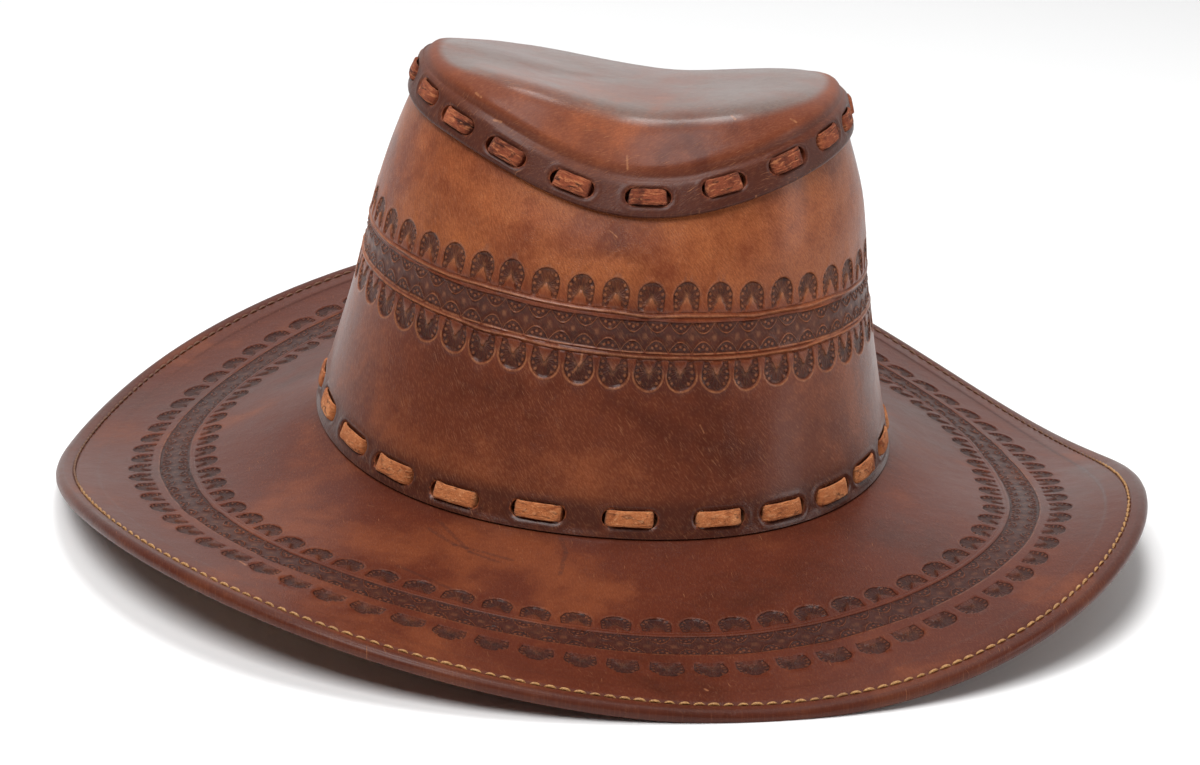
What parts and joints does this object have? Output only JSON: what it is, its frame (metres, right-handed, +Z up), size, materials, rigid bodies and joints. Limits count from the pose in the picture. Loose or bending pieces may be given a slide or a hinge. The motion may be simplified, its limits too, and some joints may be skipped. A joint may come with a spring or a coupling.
{
  "type": "leather hat",
  "caption": "Tooled leather hat with a tapered crown, a moulded saddle-shaped cap, suede lacing and a wide waved brim with a turned-under edge, lying on its brim.",
  "frame": {"origin": "middle of the hat's outline in plan, on the surface that it rests on", "axes": "+Z up, -Y towards the front of the hat, +X towards the wearer's left"},
  "size_m": [0.385, 0.3694, 0.1547],
  "materials": {
    "brim_leather": "glossy waxed reddish-brown leather with darker stamped rows and a burnished edge",
    "wall_leather": "glossy waxed reddish-brown leather, lighter orange-brown in the middle, with a dark stamped band and fine scratches",
    "cap_leather": "glossy waxed reddish-brown leather with a dark burnished lower edge",
    "base_suede": "matt fibrous tan suede lace",
    "cap_suede": "matt fibrous reddish-brown suede lace"
  },
  "bodies": {
    "root": {"brim": "brim_leather", "crown_side": "wall_leather", "crown_top": "cap_leather", "base_lace": "base_suede", "crown_lace": "cap_suede"}
  },
  "joints": []
}
